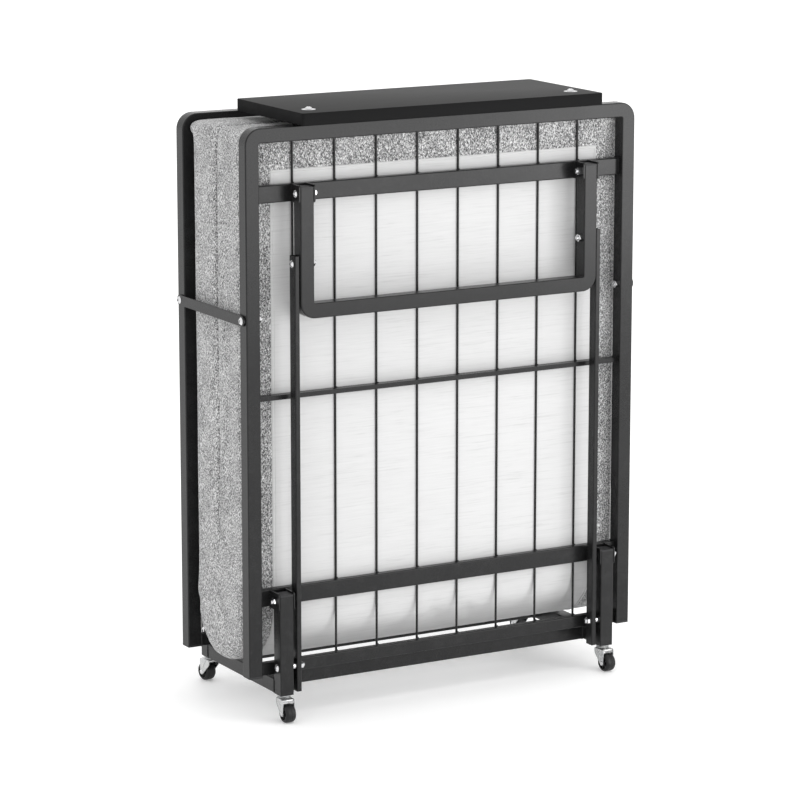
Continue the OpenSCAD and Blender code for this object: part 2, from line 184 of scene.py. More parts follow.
def powder_coat():
    """Black paint with a fine grain, paler on worn edges."""
    k = Nodes("powder_coat")
    fine = k.noise(1500, 3, 0.6)
    broad = k.noise(9, 3, 0.55)
    pointed = k.add("ShaderNodeNewGeometry").outputs["Pointiness"]
    patches = k.span(k.noise(55, 4, 0.7), 0.5, 0.7, 0, 0.55)
    worn = k.math("MULTIPLY", k.span(pointed, 0.53, 0.6, 0, 1), patches)
    paint = k.ramp(broad, [(0.3, (0.0085, 0.0085, 0.0088)), (0.7, (0.0120, 0.0120, 0.0123))])
    k.colour(k.mix(worn, paint, (0.022, 0.022, 0.0225)))
    k.rough(k.span(k.blend(fine, 0.5, broad, 0.5), 0.25, 0.75, 0.23, 0.31))
    k.put(Specular_IOR_Level=0.27)
    ripple = k.bump(k.noise(420, 2, 0.5), 0.04, 0.4 * MM)
    k.normal(k.bump(fine, 0.035, 0.25 * MM, ripple))
    return k.m


def board_finish():
    """Black laminate with a faint grain along X."""
    k = Nodes("board_laminate")
    grain = k.noise(1, 5, 0.6, k.scaled(9, 240, 240), 0.4)
    pores = k.noise(1, 3, 0.7, k.scaled(60, 1600, 1600), 0.2)
    both = k.blend(grain, 0.6, pores, 0.4)
    dark, middle, pale = (0.010, 0.010, 0.0102), (0.0155, 0.0153, 0.015), (0.021, 0.0206, 0.020)
    k.colour(k.ramp(both, [(0.32, dark), (0.5, middle), (0.7, pale)]))
    k.rough(k.span(both, 0.3, 0.7, 0.55, 0.66))
    k.put(Specular_IOR_Level=0.22)
    k.normal(k.bump(both, 0.16, 0.4 * MM))
    return k.m


def metal(name, colour, cast, low, high, scratch):
    """Plated metal: a cloud of colour, cast and a darker tone, with lines across X."""
    k = Nodes(name)
    lines = k.noise(1, 3, 0.6, k.scaled(2600, 260, 260))
    cloud = k.noise(60, 3, 0.6)
    dark = tuple(c * 0.82 for c in colour)
    k.colour(k.mix(k.span(cloud, 0.35, 0.7, 0, 1), dark, k.mix(k.noise(14, 2), colour, cast)))
    k.rough(k.span(lines, 0.3, 0.7, low, high))
    k.put(Metallic=1.0)
    k.normal(k.bump(lines, scratch, 0.2 * MM))
    return k.m


def plastic(name, tone, low, high, grainy, shine):
    """Moulded plastic, clouded a little darker and paler than its tone."""
    k = Nodes(name)
    fine = k.noise(2200, 2, 0.5)
    cloud = k.noise(45, 3, 0.6)
    k.colour(k.ramp(cloud, [(0.3, tuple(c * 0.8 for c in tone)), (0.7, tuple(c * 1.25 for c in tone))]))
    k.rough(k.span(cloud, 0.3, 0.7, low, high))
    k.put(Specular_IOR_Level=shine)
    k.normal(k.bump(fine, grainy, 0.2 * MM))
    return k.m


def melange():
    """Grey woven cover: light and dark yarns mixed, a little longer along Z."""
    k = Nodes("grey_melange")
    yarn = k.noise(1, 2.0, 0.6, k.scaled(560, 560, 350), 0.6)
    fleck = k.noise(1, 1.0, 0.5, k.scaled(1150, 1150, 680))
    patch = k.noise(26, 3, 0.6)
    both = k.blend(yarn, 0.72, fleck, 0.28)
    both = k.math("ADD", both, k.math("MULTIPLY", k.math("SUBTRACT", patch, 0.5), 0.10))
    black, dark = (0.018, 0.018, 0.0185), (0.16, 0.16, 0.162)
    middle, pale = (0.34, 0.34, 0.342), (0.78, 0.78, 0.78)
    k.colour(k.ramp(both, [(0.37, black), (0.455, dark), (0.52, middle), (0.60, pale)]))
    k.put(Roughness=0.92, Specular_IOR_Level=0.25, Sheen_Weight=0.25, Sheen_Roughness=0.5)
    rows = k.add("ShaderNodeTexWave", wave_type="BANDS", bands_direction="Z")
    rows.inputs["Scale"].default_value = 150
    rows.inputs["Distortion"].default_value = 3.5
    rows.inputs["Detail"].default_value = 2
    k.link(k.coord, rows.inputs["Vector"])
    weave = k.math("ADD", both, k.math("MULTIPLY", rows.outputs["Fac"], 0.35))
    k.normal(k.bump(weave, 0.55, 1.1 * MM))
    return k.m


def slub():
    """White underside cloth with thin horizontal slubs."""
    k = Nodes("white_slub")
    threads = k.noise(1, 3, 0.6, k.scaled(16, 420, 420), 0.5)
    slubs = k.noise(1, 4, 0.65, k.scaled(9, 210, 210), 0.8)
    both = k.blend(threads, 0.5, slubs, 0.5)
    k.colour(k.ramp(both, [(0.33, 0.52), (0.45, 0.585), (0.6, 0.61)]))
    k.put(Roughness=0.85, Specular_IOR_Level=0.3, Sheen_Weight=0.15)
    k.normal(k.bump(both, 0.35, 0.8 * MM))
    return k.m


M = {
    "black": powder_coat(),
    "board": board_finish(),
    "chrome": metal("chrome_plate", (0.74, 0.74, 0.75), (0.74, 0.74, 0.75), 0.06, 0.14, 0.04),
    "zinc": metal("zinc_plate", (0.60, 0.61, 0.62), (0.64, 0.63, 0.60), 0.20, 0.36, 0.08),
    "wheel": plastic("wheel_nylon", (0.007, 0.007, 0.0075), 0.26, 0.38, 0.12, 0.3),
    "edging": plastic("board_edge_band", (0.007, 0.007, 0.0072), 0.6, 0.75, 0.1, 0.1),
    "plug": plastic("plug_plastic", (0.013, 0.013, 0.014), 0.42, 0.6, 0.2, 0.4),
    "grey": melange(),
    "white": slub(),
}


# ---------------------------------------------------------------- mesh helpers
def unit_to(origin, axis, turn=0.0):
    """Takes local Z to axis, turned about it, at origin."""
    aim = Vector(axis).to_track_quat("Z", "X").to_matrix().to_4x4()
    return Matrix.Translation(origin) @ aim @ Matrix.Rotation(turn, 4, "Z")


def mm_rings(*pairs):
    """Rings (radius, height) given in millimetres."""
    return [(r * MM, z * MM) for r, z in pairs]


class Shape:
    """Collects solids and makes one object of them."""

    def __init__(self):
        self.verts, self.faces, self.tags = [], [], []

    def join(self, verts, faces, at, tag):
        """Adds a solid, placed by the matrix at; tag is its material slot."""
        n = len(self.verts)
        self.verts += [at @ Vector(v) if at is not None else Vector(v) for v in verts]
        for f in faces:
            self.faces.append([i + n for i in f])
            self.tags.append(tag)

    def turned(self, rings, at, segs, tag, closed):
        """Rings (radius, height), each a number or a function of the angle, as a solid or a closed ring."""
        verts, faces = [], []
        for r, z in rings:
            for i in range(segs):
                a = 2 * math.pi * i / segs
                rr = r(a) if callable(r) else r
                zz = z(a) if callable(z) else z
                verts.append((rr * math.cos(a), rr * math.sin(a), zz))
        n = len(rings)
        for k in range(n if closed else n - 1):
            m = (k + 1) % n
            for i in range(segs):
                j = (i + 1) % segs
                faces.append([k * segs + i, k * segs + j, m * segs + j, m * segs + i])
        if not closed:
            faces.append(list(range(segs))[::-1])
            faces.append([(n - 1) * segs + i for i in range(segs)])
        self.join(verts, faces, at, tag)

    def spin(self, rings, at, segs, tag=0):
        """A solid of revolution, closed by its first and last ring."""
        self.turned(rings, at, segs, tag, False)

    def hoop(self, rings, at, segs):
        """A ring: the profile returns to its start."""
        self.turned(rings, at, segs, 0, True)

    def along(self, points, radius, closed=False, at=None, segs=8):
        """A round bead along points; radius is a function of the index."""
        n = len(points)
        pts = [Vector(p) for p in points]
        verts, faces = [], []
        up = None
        for i in range(n):
            a = pts[i - 1] if (i or closed) else pts[i]
            b = pts[(i + 1) % n] if (i < n - 1 or closed) else pts[i]
            d = (b - a).normalized()
            if up is None:
                up = d.orthogonal().normalized()
            up = (up - d * up.dot(d)).normalized()
            side = d.cross(up)
            for k in range(segs):
                t = 2 * math.pi * k / segs
                verts.append(pts[i] + (up * math.cos(t) + side * math.sin(t)) * radius(i))
        for i in range(n if closed else n - 1):
            m = (i + 1) % n
            for k in range(segs):
                j = (k + 1) % segs
                faces.append([i * segs + k, i * segs + j, m * segs + j, m * segs + k])
        if not closed:
            faces.append(list(range(segs))[::-1])
            faces.append([(n - 1) * segs + k for k in range(segs)])
        self.join(verts, faces, at, 0)

    def plate(self, outline, z0, z1, ease, at=None, tag=0):
        """A flat plate of a convex outline, its edges eased."""
        pts = [Vector((p[0], p[1])) for p in outline]
        n = len(pts)
        mid = sum(pts, Vector((0, 0))) / n
        lower = [(ease, z0), (ease * 0.3, z0 + ease * 0.3), (0, z0 + ease)]
        upper = [(0, z1 - ease), (ease * 0.3, z1 - ease * 0.3), (ease, z1)]
        levels = lower + upper
        verts, faces = [], []
        for inset, z in levels:
            for i in range(n):
                a, b, c = pts[i - 1], pts[i], pts[(i + 1) % n]
                d = ((b - a).normalized() + (c - b).normalized()).normalized()
                inward = Vector((-d.y, d.x))
                if inward.dot(mid - b) < 0:
                    inward = -inward
                p = b + inward * inset
                verts.append((p.x, p.y, z))
        for k in range(len(levels) - 1):
            for i in range(n):
                j = (i + 1) % n
                faces.append([k * n + i, k * n + j, (k + 1) * n + j, (k + 1) * n + i])
        faces.append(list(range(n))[::-1])
        faces.append([(len(levels) - 1) * n + i for i in range(n)])
        self.join(verts, faces, at, tag)

    def make(self, name, mats, body, slot, replaces=()):
        """The object, riding on its body, in place of the CAD nodes that it replaces."""
        me = bpy.data.meshes.new(name)
        me.from_pydata(self.verts, [], self.faces)
        bm = bmesh.new()
        bm.from_mesh(me)
        bmesh.ops.recalc_face_normals(bm, faces=bm.faces)
        bm.to_mesh(me)
        bm.free()
        for m in mats:
            me.materials.append(m)
        me.polygons.foreach_set("material_index", self.tags)
        return place(name, me, 35, body, replaces)


def place(name, me, sharp, body, replaces=()):
    """An object of the mesh, smooth up to the angle sharp, on its body."""
    me.polygons.foreach_set("use_smooth", [True] * len(me.polygons))
    me.set_sharp_from_angle(angle=math.radians(sharp))
    o = bpy.data.objects.new(name, me)
    bpy.context.scene.collection.objects.link(o)
    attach(o, body)
    if replaces:
        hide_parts(*replaces)
    return o


# ---------------------------------------------------------------- bolts
GAP = 0.3 * MM
FIT = 0.2 * MM
EAR = 2.4 * MM
LINK_T = 9.1 * MM
SHANK_R = 4 * MM
HEAD_R = 6.5 * MM
HEAD_H = 4 * MM
NUT_ACROSS = 12 * MM
NUT_H = 5.5 * MM
STUD = 3.4 * MM
PITCH = 1 * MM
EAR_GRIP = TUBE + 2 * EAR + 4 * GAP


def hexagon(across):
    """Radius of a hexagon as a function of the angle."""
    step = math.pi / 3
    return lambda a: across / 2 / math.cos((a + step / 2) % step - step / 2)


def hex_nut(s, at):
    """A nut with chamfered corners."""
    r = hexagon(NUT_ACROSS)
    inner = NUT_ACROSS / 2

    def low(a):
        return (r(a) - inner * 0.97) * 0.55

    def high(a):
        return NUT_H - low(a)

    rings = [(inner * 0.93, 0), (r, low), (r, high), (inner * 0.93, NUT_H)]
    rings += [(inner * 0.72, NUT_H), (inner * 0.68, NUT_H - 0.4 * MM)]
    s.spin(rings, at, 48)


def thread(s, at, start, end):
    """A bolt's threaded end, its turns as plain rings."""
    root = SHANK_R * 0.86
    point = 0.6 * MM
    rings = [(root, start)]
    z = start
    while z + PITCH < end - point:
        rings += [(root, z + PITCH * 0.1), (SHANK_R, z + PITCH * 0.5), (root, z + PITCH * 0.9)]
        z += PITCH
    rings += [(SHANK_R * 0.9, end - point), (SHANK_R * 0.7, end)]
    s.spin(rings, at, 24)


def washer(s, at, r, bore, t):
    e = min(0.3 * MM, t / 3)
    s.hoop([(bore, 0), (r - e, 0), (r, e), (r, t - e), (r - e, t), (bore + e, t), (bore, t - e)], at, 40)


def button_head(s, at, h=HEAD_H, socket=5 * MM):
    """A domed head on z = 0 with a hexagon socket."""
    ball = (HEAD_R * HEAD_R + h * h) / (2 * h)
    rim = 0.5 * MM
    steps = 7
    rings = [(HEAD_R * 0.9, 0), (HEAD_R * 0.985, 0.15 * MM), (HEAD_R, rim)]
    hexa = hexagon(socket)
    lip = socket / 2 * 1.28
    for i in range(1, steps + 1):
        r = HEAD_R + (lip - HEAD_R) * i / steps
        rings.append((r, max(rim, h - ball + math.sqrt(ball * ball - r * r))))
    top = rings[-1][1]
    floor = top - 1.9 * MM
    rings += [(lambda a: hexa(a) * 1.02, top - 0.1 * MM), (hexa, top - 0.4 * MM)]
    rings += [(hexa, floor), (0.2 * MM, floor - 0.6 * MM)]
    s.spin(rings, at, 48)


def bolt(s, origin, axis, grip, turn, head_h=HEAD_H):
    """Head behind origin, shank along axis, nut after the grip."""
    button_head(s, unit_to(origin, -Vector(axis), turn), head_h)
    s.spin([(SHANK_R, -0.5 * MM), (SHANK_R, grip)], unit_to(origin, axis, turn), 24)
    end = unit_to(Vector(origin) + Vector(axis) * grip, axis, turn + 0.3)
    hex_nut(s, end)
    thread(s, end, NUT_H - 0.6 * MM, NUT_H + STUD)


for section, sy in SECTIONS:
    y = sy * abs(PIVOT.y)
    # leg hinges: head on the outer side
    s = Shape()
    for sx in SIDES:
        head = LEG_X + TUBE / 2 + EAR + 2 * GAP
        bolt(s, (sx * head, y, HINGE.z), (-sx, 0, 0), EAR_GRIP, 0.4 + sx * 0.3)
    replaced = [f"{section}_leg_hinge_bolts"]
    s.make(f"leg_hinge_bolts_{section}", [M["chrome"]], f"{section}_section", "chrome", replaced)
    # link to leg
    s = Shape()
    for sx in SIDES:
        head = LINK_OUT + GAP
        bolt(s, (sx * head, y, TIE_Z), (-sx, 0, 0), head - (LEG_X - TUBE / 2 - FIT), 0.7 - sx * 0.2)
    s.make(f"link_bolts_{section}", [M["chrome"]], f"{section}_leg", "chrome", [f"{section}_link_bolts"])

# posts to sections
s = Shape()
for _, sy in SECTIONS:
    for sx in SIDES:
        head = POST_X - TUBE / 2 - EAR - 2 * GAP
        bolt(s, (sx * head, sy * abs(PIVOT.y), PIVOT.z), (sx, 0, 0), EAR_GRIP, 0.5, 3.6 * MM)
s.make("section_pivot_bolts", [M["chrome"]], "base", "chrome", ["fold_pivot_bolts"])

# posts to links, each with a spacer between the link and the post
s = Shape()
for _, sy in SECTIONS:
    for sx in SIDES:
        y = sy * abs(LINK.y)
        head = POST_X + TUBE / 2 + FIT
        bolt(s, Vector((sx * head, y, LINK.z)), (-sx, 0, 0), head - (LINK_OUT - LINK_T - GAP), 0.3)
        spacer = unit_to((sx * (LINK_OUT + GAP), y, LINK.z), (sx, 0, 0))
        bore, r, e = 4.1 * MM, 7 * MM, 0.5 * MM
        t = POST_X - TUBE / 2 - LINK_OUT - GAP
        cap = 6.4 * MM
        s.hoop([(bore, 0), (cap, 0), (r, e), (r, t - e), (cap, t), (bore, t)], spacer, 36)
s.make("link_pivot_set", [M["chrome"]], "base", "chrome", ["link_pivot_bolts"])

# latch bars: a bolt in the front rail and a screw towards the rear rail
s = Shape()
for sx in SIDES:
    head = LATCH_HI.x + GAP
    grip = head - (RAIL_HI.x - TUBE - FIT)
    bolt(s, (sx * head, LATCH.y, LATCH.z), (-sx, 0, 0), grip, 0.2 + sx * 0.4)
s.make("latch_pivot_bolts", [M["chrome"]], "front_section", "chrome", ["front_latch_bolts"])
for side, sx in (("left", -1), ("right", 1)):
    s = Shape()
    at = Vector((sx * LATCH_LO.x, -LATCH.y, LATCH.z))
    shank = [(SHANK_R, 0), (SHANK_R, LATCH_HI.x - LATCH_LO.x + FIT)]
    s.spin(shank, unit_to(at, (sx, 0, 0)), 24)
    button_head(s, unit_to((sx * LATCH_HI.x, at.y, at.z), (sx, 0, 0), 0.5))
    s.make(f"latch_thumb_{side}", [M["chrome"]], f"latch_{side}", "chrome", [f"latch_{side}_screw"])


def board_fixing(s, x, y):
    """Washer, dished washer, screw and rivet nut at one place of the board."""
    washer_r, dish_t, screw_r, nut_foot = 12.5 * MM, 1.5 * MM, 3 * MM, 10.2 * MM
    seat = BOARD_HI.z - 0.8 * MM
    rail_top = RAIL_HI.z

    def up(z, turn=0.0):
        return unit_to(Vector((x, y, z)), (0, 0, 1), turn)

    washer(s, up(rail_top), washer_r, 3.1 * MM, BOARD_LO.z - rail_top)
    dish = mm_rings((3.2, 0.2), (12.0, 0), (12.5, 0.35), (12.4, 0.7), (9, 1.35), (6, 1.5), (3.2, 1.5))
    s.hoop(dish, up(seat), 56)
    button_head(s, up(seat + dish_t, 0.35), socket=4 * MM)
    # inside the rail
    rivet = mm_rings((3, 0), (4.2, 0), (4.2, 4), (5, 5), (5, 8), (4.6, 9), (3, 9))
    s.hoop(rivet, up(rail_top - nut_foot), 32)
    s.spin([(screw_r, 0), (screw_r, seat - rail_top + nut_foot + 1 * MM)], up(rail_top - nut_foot), 24)


s = Shape()
for sx in SIDES:
    board_fixing(s, sx * (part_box("board_screws")[1].x - 12.5 * MM), RAIL_LO.y + TUBE / 2)
s.make("board_fixings", [M["chrome"]], "front_section", "chrome", ["board_screws"])


# ---------------------------------------------------------------- board
def rounded_outline(hx, hy, r, steps, cx=0.0, cy=0.0):
    """A rectangle of half sizes hx and hy about (cx, cy), its corners rounded."""
    pts = []
    for ux, uy, start in ((1, 1, 0), (-1, 1, 90), (-1, -1, 180), (1, -1, 270)):
        for i in range(steps + 1):
            a = math.radians(start + 90 * i / steps)
            pts.append((cx + ux * (hx - r) + r * math.cos(a), cy + uy * (hy - r) + r * math.sin(a)))
    return pts


s = Shape()
size = (BOARD_HI - BOARD_LO) / 2
mid = (BOARD_HI + BOARD_LO) / 2
s.plate(rounded_outline(size.x, size.y, 5 * MM, 8, mid.x, mid.y), BOARD_LO.z, BOARD_HI.z, 1.1 * MM)
top_board = s.make("top_board", [M["board"], M["edging"]], "front_section", "board_black", ["board"])
for f in top_board.data.polygons:
    f.material_index = 0 if abs(f.normal.z) > 0.95 else 1


# ---------------------------------------------------------------- casters
WHEEL_R = 16 * MM
TRAIL = 12.5 * MM
CHEEK_X = 11.8 * MM
CHEEK_T = 1.5 * MM
NECK_R = 9.2 * MM
SPOKES = 6
RIBS = 44


def superellipse(hx, hy0, hy1, n=5):
    """Radius of a rounded rectangle about the stem, hy0 towards -Y and hy1 towards +Y."""

    def r(a):
        c, d = abs(math.cos(a)), math.sin(a)
        hy = hy1 if d > 0 else hy0
        return 1.0 / ((c / hx) ** n + (abs(d) / hy) ** n) ** (1 / n)

    return r


def cheek_outline():
    """Side outline (y, z) of a fork cheek, corners rounded off."""
    top, front, back = 40.2 * MM, -17.4 * MM, 9.3 * MM
    foot = WHEEL_R - 4.2 * MM
    raw = [(back, top, 2), (front, top, 2), (front, top - 8 * MM, 4)]
    raw += [(-TRAIL - 4.2 * MM, WHEEL_R + 3 * MM, 4), (-TRAIL - 2.6 * MM, foot, 3)]
    raw += [(-TRAIL + 3 * MM, foot, 3), (back - 0.7 * MM, top - 9 * MM, 4)]
    pts = [Vector((p[0], p[1])) for p in raw]
    steps = 5
    out = []
    n = len(pts)
    for i in range(n):
        a, b, c = pts[i - 1], pts[i], pts[(i + 1) % n]
        cut = min(raw[i][2] * MM, (a - b).length * 0.45, (c - b).length * 0.45)
        p, q = b + (a - b).normalized() * cut, b + (c - b).normalized() * cut
        for k in range(steps + 1):
            t = k / steps
            out.append(tuple(p * (1 - t) ** 2 + b * 2 * t * (1 - t) + q * t * t))
    return out


def fork(here):
    """Pressed hood, dark neck, lower race, and two cheeks with a rib and an axle boss."""
    s = Shape()
    rim = superellipse(11.7 * MM, 17.8 * MM, 9.8 * MM)
    hood = [(0.86, 37.2), (0.985, 37.2), (1.0, 37.8), (1.0, 39.3), (0.98, 40.3), (0.93, 40.9), (0.80, 41.2)]
    s.spin([(lambda a, f=f: rim(a) * f, z * MM) for f, z in hood] + mm_rings((8, 41.3)), here, 72)
    s.spin([(NECK_R, 41.2 * MM), (NECK_R, 43.9 * MM)], here, 40, tag=1)
    race = mm_rings((8, 42.0), (10.9, 42.0), (11.4, 42.4), (11.4, 43.2), (10.9, 43.6), (8, 43.6))
    s.hoop(race, here, 48)
    upright = Matrix(((0, 0, 1, 0), (1, 0, 0, 0), (0, 1, 0, 0), (0, 0, 0, 1)))
    rib_steps = 8
    for side in SIDES:
        stand = here @ Matrix.Translation((side * (CHEEK_X - CHEEK_T / 2), 0, 0)) @ upright
        s.plate(cheek_outline(), -CHEEK_T / 2, CHEEK_T / 2, 0.35 * MM, stand)
        out = Matrix.Rotation(side * math.pi / 2, 4, "Y")
        boss = here @ Matrix.Translation((side * CHEEK_X, -TRAIL, WHEEL_R)) @ out
        s.spin(mm_rings((4.9, -0.2), (4.7, 0.25), (3.6, 0.35), (2.6, 0.30)), boss, 32)
        rib = []
        for i in range(rib_steps + 1):
            t = i / rib_steps
            rib.append((side * CHEEK_X, -0.5 * MM - t * (TRAIL - 3.0 * MM), 38.5 * MM - t * 15 * MM))
        s.along(rib, lambda i: (0.25 + 0.75 * math.sin(math.pi * (i + 0.5) / len(rib))) * MM, at=here)
    return s


def axle(wheel_at):
    """Axle bolt: domed head on one side, hexagon on the other."""
    s = Shape()
    r, reach = 2.45 * MM, CHEEK_X + 0.3 * MM
    s.spin([(r, -reach), (r, reach)], wheel_at, 24)
    out = Matrix.Translation((0, 0, CHEEK_X))
    head = mm_rings((4.0, 0.1), (3.95, 0.5), (3.4, 1.1), (2.3, 1.5), (1.1, 1.6), (0.9, 1.35))
    s.spin(head, wheel_at @ out, 36)
    hexa = hexagon(6.6 * MM)
    nut = [(hexa, 0.1 * MM), (hexa, 1.1 * MM)] + mm_rings((3.0, 1.4), (1.5, 1.45))
    s.spin(nut, wheel_at @ Matrix.Rotation(math.pi, 4, "X") @ out, 48)
    return s


def wheel(wheel_at):
    """Wheel: ribbed tread, rounded shoulders, recessed spoked sides."""
    s = Shape()

    def tread(a):
        return WHEEL_R - 0.22 * MM * (0.5 + 0.5 * math.cos(RIBS * a)) ** 3

    hub = mm_rings((2.6, 9.4), (5.0, 9.4), (5.3, 9.1), (5.4, 7.0))
    rim = mm_rings((10.8, 7.0), (11.1, 9.2), (11.4, 9.5), (12.9, 9.3), (14.3, 8.6), (15.3, 7.5), (15.8, 6.1))
    half = hub + rim + [(tread, z * MM) for z in (5.2, 2.6, 0.5)]
    s.hoop([(r, -z) for r, z in half] + [(WHEEL_R - 0.5 * MM, 0)] + half[::-1], wheel_at, 4 * RIBS)
    spoke = rounded_outline(2.8 * MM, 0.7 * MM, 0.5 * MM, 3)
    for face in SIDES:
        for i in range(SPOKES):
            turn = Matrix.Rotation(2 * math.pi * i / SPOKES, 4, "Z")
            at = wheel_at @ turn @ Matrix.Translation((8.1 * MM, 0, face * 7.8 * MM))
            s.plate(spoke, -0.9 * MM, 0.9 * MM, 0.25 * MM, at)
    return s


for corner in CORNERS:
    stem = JOINTS["swivel_" + corner]
    hub = JOINTS["spin_" + corner]
    yaw = math.atan2(hub.x - stem.x, stem.y - hub.y)
    here = Matrix.Translation((stem.x, stem.y, 0)) @ Matrix.Rotation(yaw, 4, "Z")
    wheel_at = here @ Matrix.Translation((0, -TRAIL, WHEEL_R)) @ Matrix.Rotation(math.pi / 2, 4, "Y")
    caster = f"caster_{corner}"
    fork(here).make(f"fork_{corner}", [M["zinc"], M["plug"]], caster, "zinc", [f"caster_fork_{corner}"])
    axle(wheel_at).make(f"axle_{corner}", [M["chrome"]], caster, "chrome", [f"caster_axle_{corner}"])
    name = f"wheel_{corner}"
    wheel(wheel_at).make(name, [M["wheel"]], name, "wheel_plastic", [f"caster_{name}"])

# stems: flange under the post, neck, stem with its rivet, and the socket inside the post
s = Shape()
for cx, cy in CORNERS.values():
    here = Matrix.Translation((cx * POST_X, cy * abs(PIVOT.y), 0))
    flange = mm_rings((7.5, 44.7), (11.8, 44.7), (12.3, 45.2), (12.3, 46.2), (11.9, 46.7), (7.5, 46.8))
    s.hoop(flange, here, 48)
    s.spin([(NECK_R, 44.0 * MM), (NECK_R, 44.9 * MM)], here, 40, tag=1)
    s.spin(mm_rings((3.9, 36.9), (3.9, 46.9)), here, 28)
    s.spin(mm_rings((2.0, 36.0), (5.0, 36.3), (6.0, 37.2), (6.0, 38.4), (4.0, 38.5)), here, 32)
    inside = (TUBE - 2.6 * MM) / 2
    s.plate(rounded_outline(inside, inside, 1.2 * MM, 3), 46.9 * MM, 68 * MM, 0.4 * MM, here, tag=1)
s.make("stem_sets", [M["zinc"], M["plug"]], "base", "zinc", ["caster_stems"])


# ---------------------------------------------------------------- welds
WELD_R = 1.5 * MM
SINK = 0.2 * MM


def rect_path(x, y0, y1, z0, z1):
    """A rectangle without its corners, in a plane of constant X."""
    r, step = 2 * MM, 1.6 * MM
    below = ((y0 + r, z0), (y1 - r, z0))
    far = ((y1, z0 + r), (y1, z1 - r))
    above = ((y1 - r, z1), (y0 + r, z1))
    near = ((y0, z1 - r), (y0, z0 + r))
    pts = []
    for a, b in (below, far, above, near):
        n = max(2, int(math.hypot(b[0] - a[0], b[1] - a[1]) / step))
        for i in range(n + 1):
            t = i / n
            pts.append((x, a[0] + (b[0] - a[0]) * t, a[1] + (b[1] - a[1]) * t))
    return pts


def ripple(seed):
    """Radius of a weld bead as a function of the index."""

    def r(i):
        wave = 0.16 * math.sin(i * 2.1 + seed)
        return WELD_R * (1 + wave + 0.10 * noise.noise(Vector((i * 0.7, seed, 0))))

    return r


def end_beads(s, node, seed):
    """A bead round each end of a bar that runs along X."""
    lo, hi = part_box(node)
    for sx in SIDES:
        s.along(rect_path(sx * (hi.x - SINK), lo.y, hi.y, lo.z, hi.z), ripple(seed + sx), True)


def wire_tacks(s, node, xs, sy):
    """A tack above and below a bar where each wire crosses it."""
    lo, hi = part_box(node)
    inner = hi.y if sy < 0 else lo.y
    tack = mm_rings((1.2, -2.2), (2.9, -1.4), (3.2, -0.2), (2.4, 0.9), (1.0, 1.4))
    for i, x in enumerate(xs):
        for edge, sz in ((lo.z, -1), (hi.z, 1)):
            jig = noise.noise(Vector((i * 1.7, edge * 40, sy))) * 0.6 * MM
            s.spin(tack, unit_to((x + jig, inner + sy * SINK, edge), (0, 0, sz)), 12)


for section, sy in SECTIONS:
    s = Shape()
    for part in ("upper_crossbar", "lower_crossbar", "middle_bar", "end_bar"):
        bar = f"{section}_{part}"
        end_beads(s, bar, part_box(bar)[1].z * 31)
        wire_tacks(s, bar, wire_places(section), sy)
    s.make(f"welds_{section}", [M["black"]], f"{section}_section", "black_steel")

s = Shape()
for name in ("base_crossbar_front", "base_crossbar_rear"):
    end_beads(s, name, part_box(name)[0].y * 90)
for name in ("base_tube_left", "base_tube_right"):
    lo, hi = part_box(name)
    for y in (lo.y + SINK, hi.y - SINK):
        bead = [(p[1], y, p[2]) for p in rect_path(0, lo.x, hi.x, lo.z, hi.z)]
        s.along(bead, ripple(y * 70 + lo.x), True)
s.make("welds_base", [M["black"]], "base", "black_steel")

# ---------------------------------------------------------------- mattress
HALF_W = MAT_HI.x
DEPTH = -MAT_LO.y
TOP = MAT_HI.z
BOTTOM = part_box("mattress_fold")[0].z
U_RISE = 158 * MM
SPLIT_Z = 268 * MM
SWELL = 7 * MM
GROOVE = 9 * MM
GROOVE_REACH = 24 * MM
FACE_Y = 99.2 * MM
WIRE_BULGE = 0.4 * MM
MAX_SLIDE = 4 * MM
MAX_DRAW_IN = 2 * MM
MAX_PUFF = 12 * MM
SIDE_DRIFT = 0.96 * MM
VOXEL = 8.5 * MM
FRAMES = 20
WIRE_X = wire_places("front")


def corner_points(a, b, c, r, steps=6):
    """Rounds the corner b of the path a-b-c."""
    a, b, c = Vector(a), Vector(b), Vector(c)
    p, q = b + (a - b).normalized() * r, b + (c - b).normalized() * r
    return [p * (1 - t) ** 2 + b * 2 * t * (1 - t) + q * t * t for t in [i / steps for i in range(steps + 1)]]


def u_curve(depth, bottom, rise, steps):
    """The underside from +depth round to -depth, as (y, z)."""
    n = 2.35
    out = []
    for i in range(2 * steps + 1):
        a = math.pi * i / (2 * steps)
        c, s = math.cos(a), max(0.0, math.sin(a))
        y = math.copysign(abs(c) ** (2 / n), c) * depth
        out.append(Vector((y, bottom + rise * (1 - s ** (2 / n)))))
    return out


